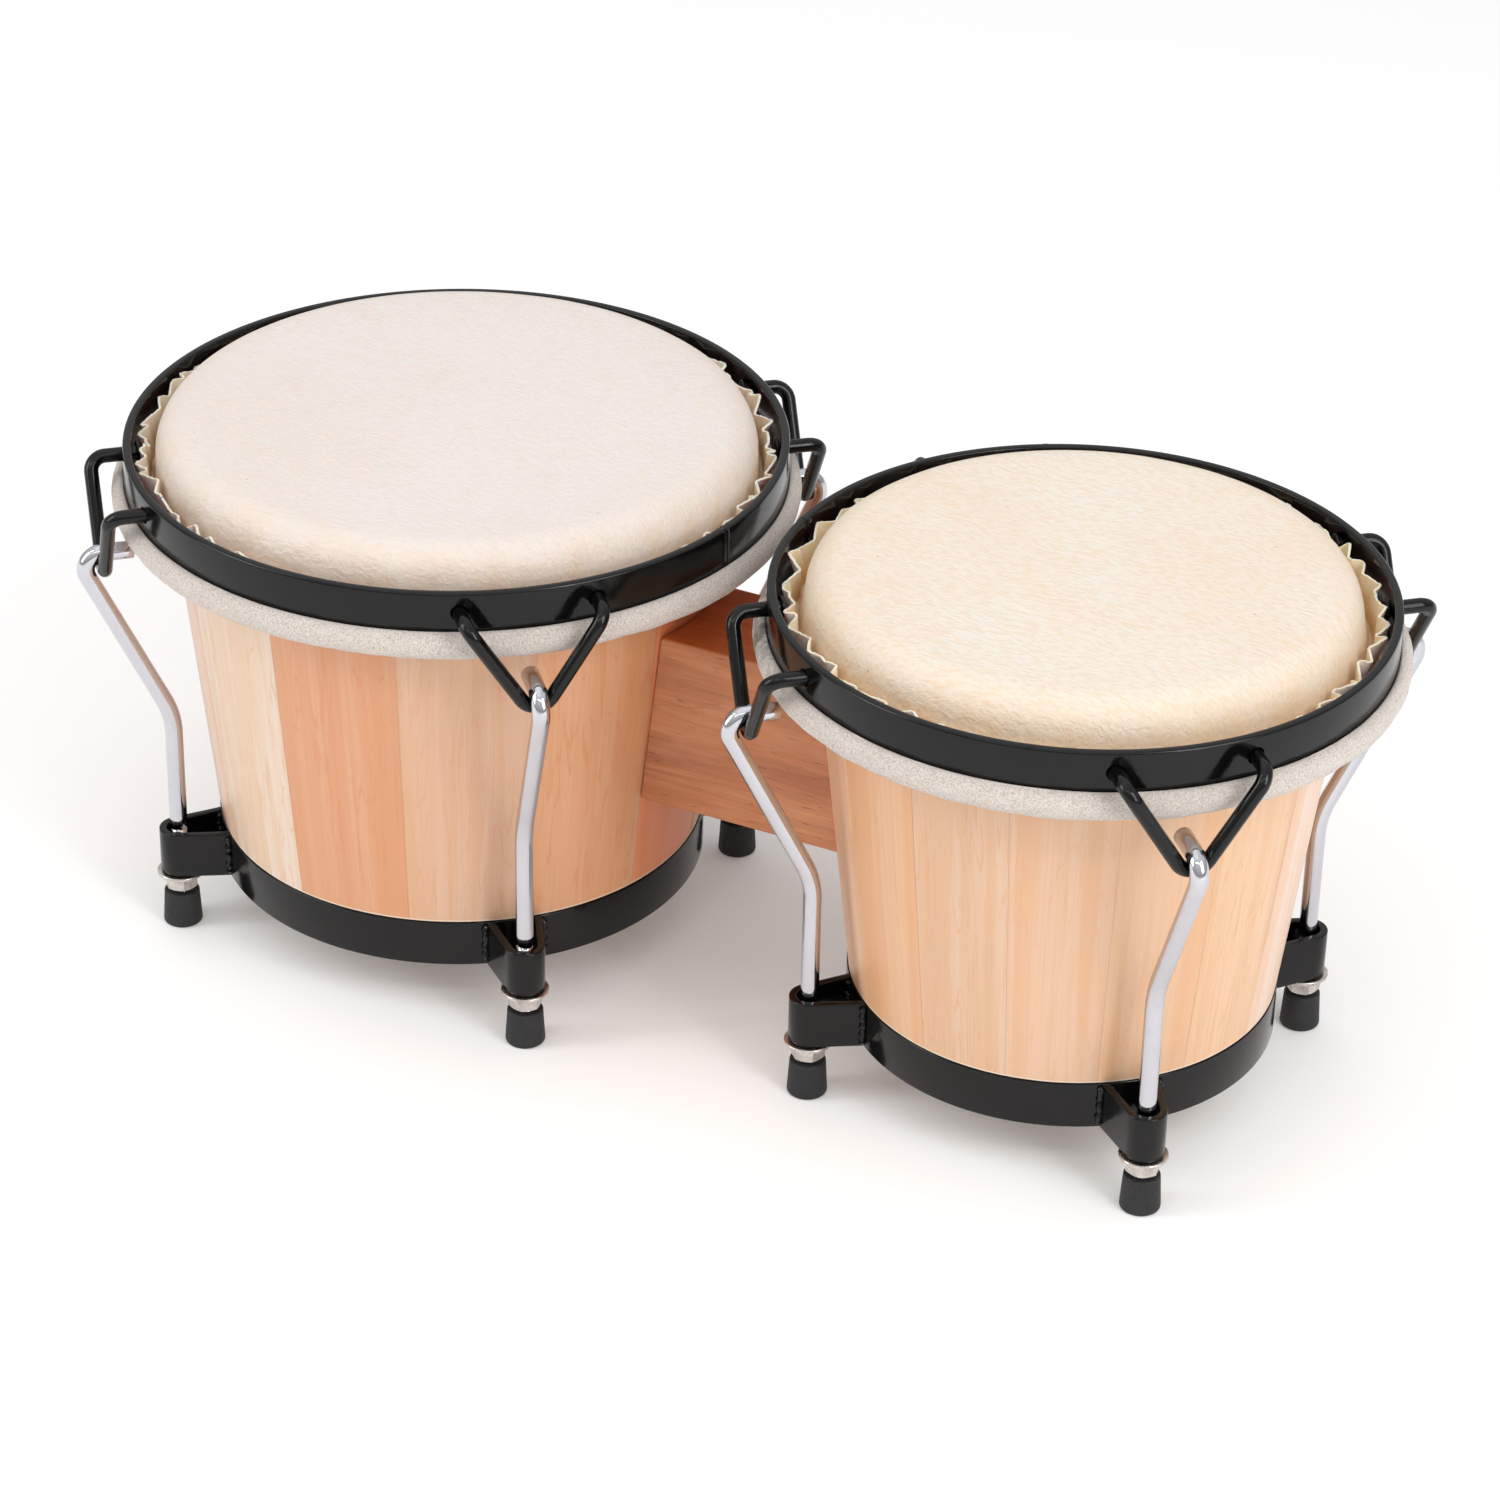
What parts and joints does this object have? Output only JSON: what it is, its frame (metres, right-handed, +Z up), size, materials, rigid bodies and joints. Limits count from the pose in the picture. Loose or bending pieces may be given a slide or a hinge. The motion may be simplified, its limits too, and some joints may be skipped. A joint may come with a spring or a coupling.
{
  "type": "bongo drums",
  "caption": "Bongo drums: a larger and a smaller tapered stave drum with hide heads, black hoops and chromed tension rods, joined by a wooden centre block and standing on rubber feet.",
  "frame": {"origin": "on the floor under the middle of the bounding box", "axes": "+X along the centre block from the large drum to the small one, +Z up"},
  "size_m": [0.4428, 0.2284, 0.185],
  "materials": {
    "shell_wood": "satin lacquered light staves",
    "block_wood": "satin lacquered reddish brown",
    "hide": "natural rawhide, satin",
    "rolled_hide": "matte, fuzzy suede side out",
    "black_steel": "black powder coat, semi-gloss",
    "chrome": "polished",
    "plated_steel": "nickel plated",
    "rubber": "matte moulded"
  },
  "bodies": {
    "shells": {"large_shell": "shell_wood", "large_skin": "hide", "large_bottom_ring": "black_steel", "large_washer_1": "plated_steel", "large_washer_2": "plated_steel", "large_washer_3": "plated_steel", "large_washer_4": "plated_steel", "small_shell": "shell_wood", "small_skin": "hide", "small_bottom_ring": "black_steel", "small_washer_1": "plated_steel", "small_washer_2": "plated_steel", "small_washer_3": "plated_steel", "small_washer_4": "plated_steel", "centre_block": "block_wood", "block_bolt_large_upper": "plated_steel", "block_washer_large_upper": "plated_steel", "block_bolt_large_lower": "plated_steel", "block_washer_large_lower": "plated_steel", "block_bolt_small_upper": "plated_steel", "block_washer_small_upper": "plated_steel", "block_bolt_small_lower": "plated_steel", "block_washer_small_lower": "plated_steel"},
    "large_head_frame": {"large_hoop": "black_steel", "large_flesh_hoop": "rolled_hide", "large_hook_loop_1": "black_steel", "large_hook_loop_2": "black_steel", "large_hook_loop_3": "black_steel", "large_hook_loop_4": "black_steel", "large_tension_rod_1": "chrome", "large_tension_rod_2": "chrome", "large_tension_rod_3": "chrome", "large_tension_rod_4": "chrome", "large_foot_1": "rubber", "large_foot_2": "rubber", "large_foot_3": "rubber", "large_foot_4": "rubber"},
    "large_nut_body_1": {"large_nut_1": "plated_steel"},
    "large_nut_body_2": {"large_nut_2": "plated_steel"},
    "large_nut_body_3": {"large_nut_3": "plated_steel"},
    "large_nut_body_4": {"large_nut_4": "plated_steel"},
    "small_head_frame": {"small_hoop": "black_steel", "small_flesh_hoop": "rolled_hide", "small_hook_loop_1": "black_steel", "small_hook_loop_2": "black_steel", "small_hook_loop_3": "black_steel", "small_hook_loop_4": "black_steel", "small_tension_rod_1": "chrome", "small_tension_rod_2": "chrome", "small_tension_rod_3": "chrome", "small_tension_rod_4": "chrome", "small_foot_1": "rubber", "small_foot_2": "rubber", "small_foot_3": "rubber", "small_foot_4": "rubber"},
    "small_nut_body_1": {"small_nut_1": "plated_steel"},
    "small_nut_body_2": {"small_nut_2": "plated_steel"},
    "small_nut_body_3": {"small_nut_3": "plated_steel"},
    "small_nut_body_4": {"small_nut_4": "plated_steel"}
  },
  "joints": [
    {"name": "large_tuning", "type": "slide", "parent": "shells", "child": "large_head_frame", "axis": [0, 0, -1], "range_m": [0, 0.004]},
    {"name": "large_nut_turn_1", "type": "hinge", "parent": "shells", "child": "large_nut_body_1", "pos_m": [-0.03318, 0.06508, 0.0167], "axis": [0, 0, 1], "range_deg": [0, 1440]},
    {"name": "large_nut_turn_2", "type": "hinge", "parent": "shells", "child": "large_nut_body_2", "pos_m": [-0.17233, 0.07407, 0.0167], "axis": [0, 0, 1], "range_deg": [0, 1440]},
    {"name": "large_nut_turn_3", "type": "hinge", "parent": "shells", "child": "large_nut_body_3", "pos_m": [-0.18132, -0.06508, 0.0167], "axis": [0, 0, 1], "range_deg": [0, 1440]},
    {"name": "large_nut_turn_4", "type": "hinge", "parent": "shells", "child": "large_nut_body_4", "pos_m": [-0.04217, -0.07407, 0.0167], "axis": [0, 0, 1], "range_deg": [0, 1440]},
    {"name": "small_tuning", "type": "slide", "parent": "shells", "child": "small_head_frame", "axis": [0, 0, -1], "range_m": [0, 0.004]},
    {"name": "small_nut_turn_1", "type": "hinge", "parent": "shells", "child": "small_nut_body_1", "pos_m": [0.18221, 0.05663, 0.0167], "axis": [0, 0, 1], "range_deg": [0, 1440]},
    {"name": "small_nut_turn_2", "type": "hinge", "parent": "shells", "child": "small_nut_body_2", "pos_m": [0.06112, 0.06446, 0.0167], "axis": [0, 0, 1], "range_deg": [0, 1440]},
    {"name": "small_nut_turn_3", "type": "hinge", "parent": "shells", "child": "small_nut_body_3", "pos_m": [0.05329, -0.05663, 0.0167], "axis": [0, 0, 1], "range_deg": [0, 1440]},
    {"name": "small_nut_turn_4", "type": "hinge", "parent": "shells", "child": "small_nut_body_4", "pos_m": [0.17438, -0.06446, 0.0167], "axis": [0, 0, 1], "range_deg": [0, 1440]}
  ],
  "couplings": [
    {"joint": "large_nut_turn_1", "follows": "large_tuning", "rad_per_m": 6283.2},
    {"joint": "large_nut_turn_2", "follows": "large_tuning", "rad_per_m": 6283.2},
    {"joint": "large_nut_turn_3", "follows": "large_tuning", "rad_per_m": 6283.2},
    {"joint": "large_nut_turn_4", "follows": "large_tuning", "rad_per_m": 6283.2},
    {"joint": "small_nut_turn_1", "follows": "small_tuning", "rad_per_m": 6283.2},
    {"joint": "small_nut_turn_2", "follows": "small_tuning", "rad_per_m": 6283.2},
    {"joint": "small_nut_turn_3", "follows": "small_tuning", "rad_per_m": 6283.2},
    {"joint": "small_nut_turn_4", "follows": "small_tuning", "rad_per_m": 6283.2}
  ]
}
